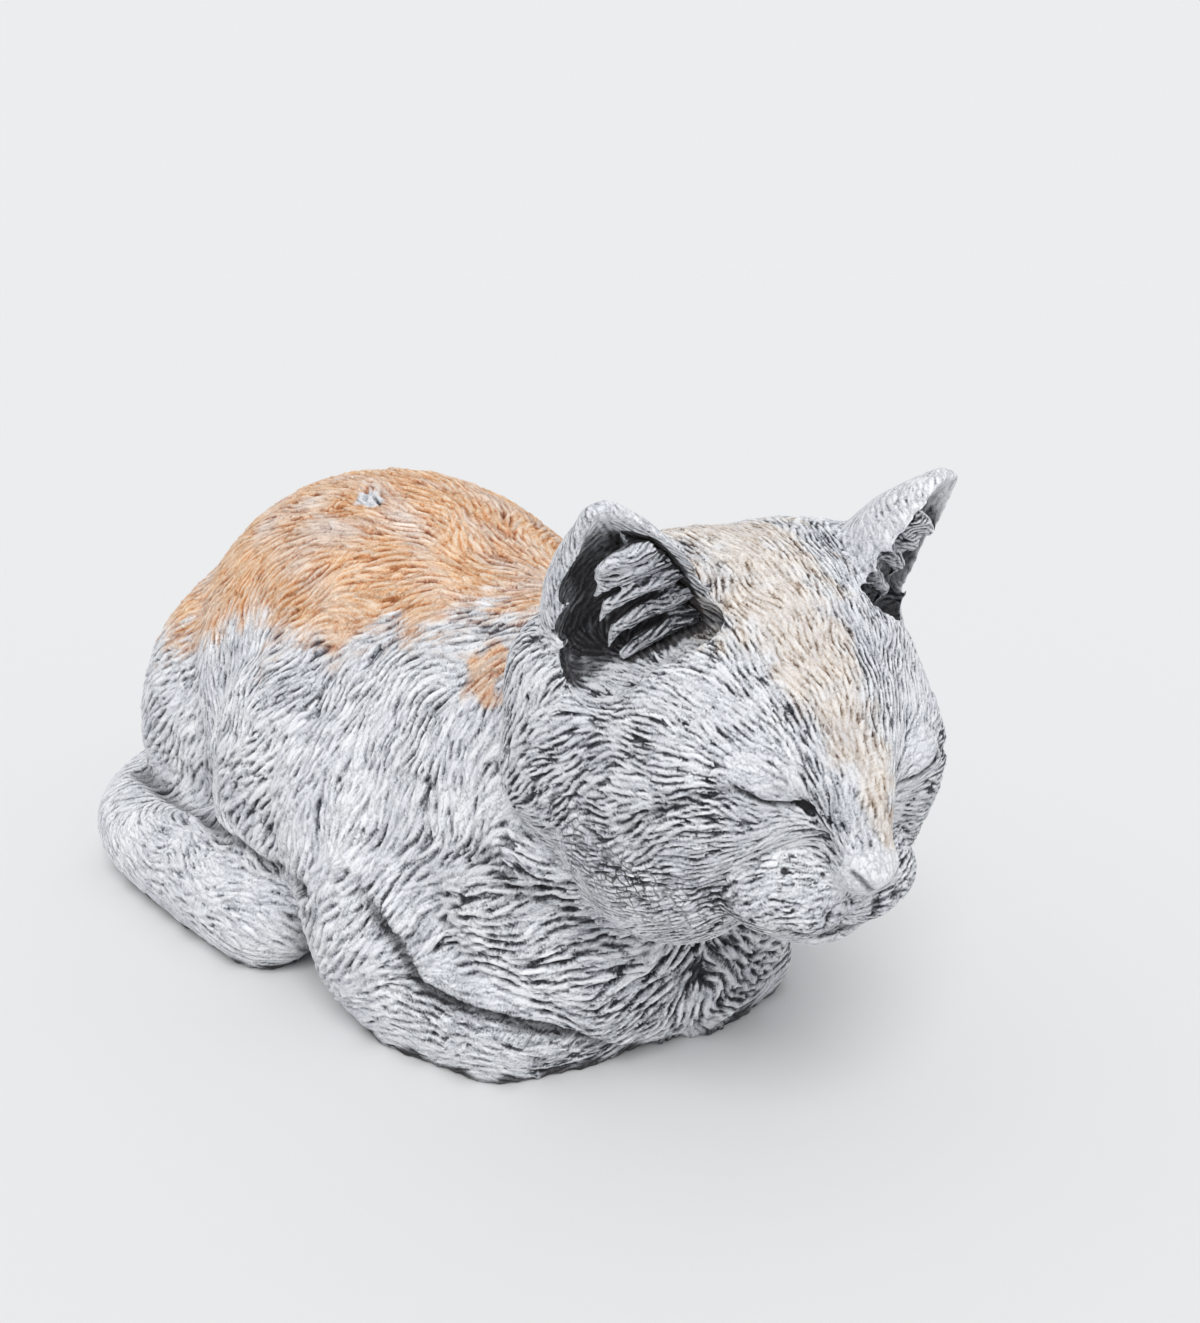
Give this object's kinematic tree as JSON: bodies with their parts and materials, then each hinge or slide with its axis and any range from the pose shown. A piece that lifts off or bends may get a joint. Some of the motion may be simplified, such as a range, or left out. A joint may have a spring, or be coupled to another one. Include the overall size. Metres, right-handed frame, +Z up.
{
  "type": "garden statue",
  "caption": "Cast-stone garden statue of a sleeping cat, lying with its forepaws tucked in and its tail along its right side, with carved fur all over",
  "frame": {"origin": "on the flat underside, below the middle of the body between the forelegs and the rump", "axes": "+Z up from the ground, -Y the way the cat faces, +X towards the cat's own left side"},
  "size_m": [0.2227, 0.414, 0.2095],
  "materials": {
    "stone": "matte",
    "ginger_stone": "matte",
    "buff_stone": "matte"
  },
  "bodies": {
    "root": {"trunk": "ginger_stone", "rump": "ginger_stone", "right_thigh": "stone", "right_upper_arm": "stone", "left_thigh": "stone", "left_upper_arm": "stone", "chest": "stone", "right_forearm": "stone", "left_forearm": "stone", "tail": "stone", "head": "buff_stone", "muzzle": "stone", "nose": "stone", "chin": "stone", "right_eyelid": "stone", "right_ear": "stone", "right_ear_fur": "stone", "left_eyelid": "stone", "left_ear": "stone", "left_ear_fur": "stone"}
  },
  "joints": []
}
